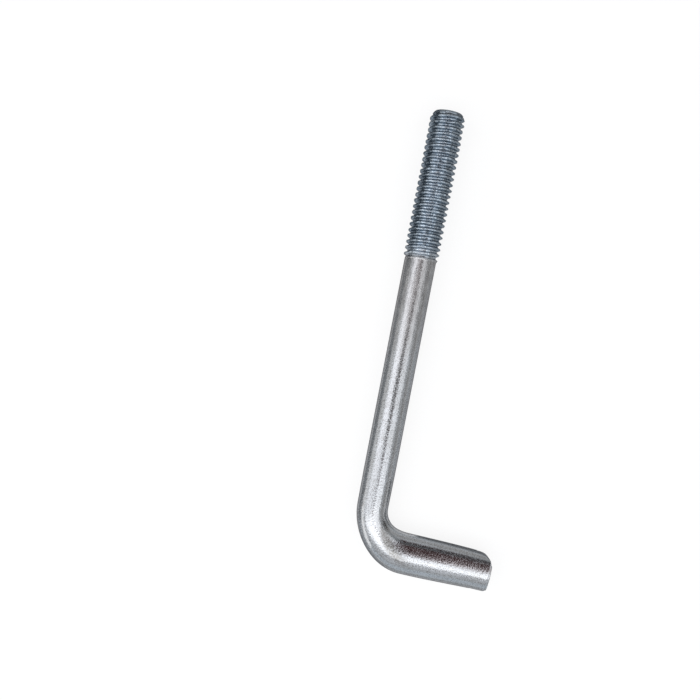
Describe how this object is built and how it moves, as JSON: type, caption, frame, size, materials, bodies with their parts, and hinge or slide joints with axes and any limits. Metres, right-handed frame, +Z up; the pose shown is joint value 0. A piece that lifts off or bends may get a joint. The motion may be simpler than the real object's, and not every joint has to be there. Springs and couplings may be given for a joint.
{
  "type": "bent anchor bolt",
  "caption": "Bent anchor bolt (J bolt): zinc-plated steel rod with a rolled thread, a plain shank and a short leg pressed over at about a right angle.",
  "frame": {"origin": "on the bolt's axis at the foot of the thread, where full thread begins", "axes": "+Y along the bolt's axis towards the thread's tip, +X the side that the leg points to, +Z up, square to the plane of the bend; the bolt lies flat"},
  "size_m": [0.0384, 0.1227, 0.0094],
  "materials": {
    "zinc": "bright zinc plating on rolled steel, lightly speckled"
  },
  "bodies": {
    "root": {"j_bolt": "zinc"}
  },
  "joints": []
}
